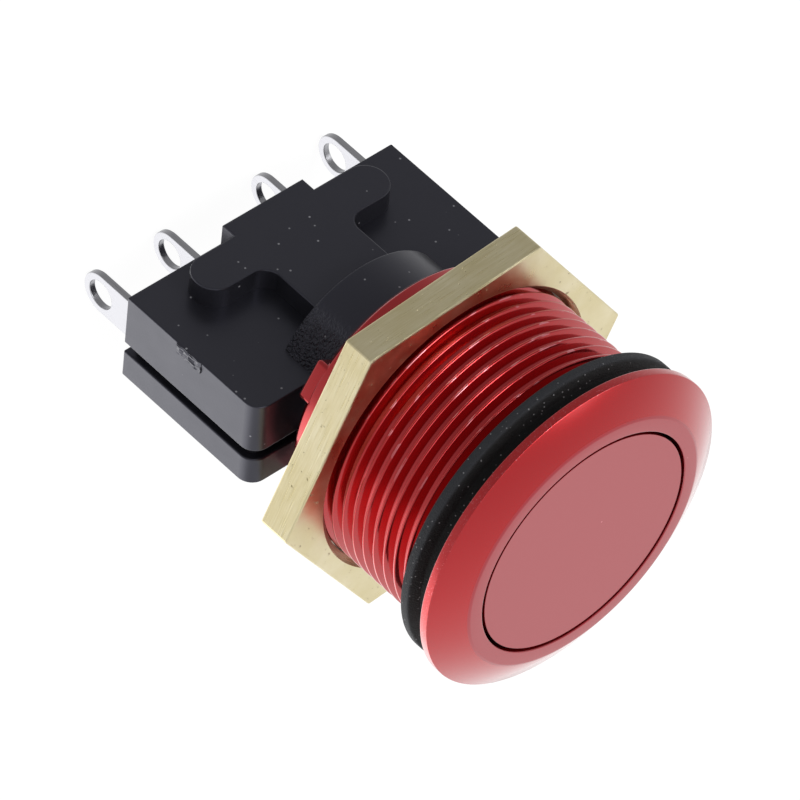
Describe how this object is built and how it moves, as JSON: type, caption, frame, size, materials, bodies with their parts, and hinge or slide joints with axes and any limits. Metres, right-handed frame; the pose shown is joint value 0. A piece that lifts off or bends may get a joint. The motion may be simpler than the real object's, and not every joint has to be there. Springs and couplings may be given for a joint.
{
  "type": "vandal resistant push button",
  "caption": "Round panel push button: red anodised metal housing with flush cap, panel thread, rubber gasket, brass hexagon nut and a black switch block with solder tags.",
  "frame": {"origin": "on the button's axis in the plane of the panel's face, where the gasket bears", "axes": "+Z out of the panel towards the finger, +X along the row of solder tags, +Y to the raised side of the switch block"},
  "size_m": [0.029, 0.0266, 0.037],
  "materials": {
    "red_anodised": "satin red anodised",
    "black_rubber": "matt moulded",
    "spring_steel": "bright drawn",
    "brass": "machined",
    "black_moulding": "satin moulded",
    "tinned_brass": "tin plated",
    "contact_silver": "bright",
    "carrier_moulding": "satin moulded"
  },
  "bodies": {
    "switch_body": {"housing": "red_anodised", "panel_gasket": "black_rubber", "switch_base": "black_moulding", "switch_cover": "black_moulding", "terminal_1": "tinned_brass", "terminal_2": "tinned_brass", "terminal_3": "tinned_brass", "terminal_4": "tinned_brass", "fixed_contact_1": "contact_silver", "fixed_contact_2": "contact_silver", "fixed_contact_3": "contact_silver", "fixed_contact_4": "contact_silver", "cap_spring": "spring_steel", "return_spring": "spring_steel"},
    "button": {"cap": "red_anodised", "cap_seal": "black_rubber", "retaining_clip": "spring_steel", "contact_carrier": "carrier_moulding", "closed_bridge": "brass", "open_bridge": "brass", "moving_contact_1": "contact_silver", "moving_contact_2": "contact_silver", "moving_contact_3": "contact_silver", "moving_contact_4": "contact_silver", "closed_contact_spring": "spring_steel", "open_contact_spring": "spring_steel"},
    "nut": {"hex_nut": "brass"}
  },
  "joints": [
    {"name": "button_press", "type": "slide", "parent": "switch_body", "child": "button", "axis": [0, 0, -1], "range_m": [0, 0.002], "stiffness_N_per_m": 1000, "springref_m": -0.0015, "deforming": ["cap_spring", "return_spring"]},
    {"name": "nut_turn", "type": "hinge", "parent": "switch_body", "child": "nut", "pos_m": [0, 0, -0.00962], "axis": [0, 0, 1], "continuous": true}
  ]
}
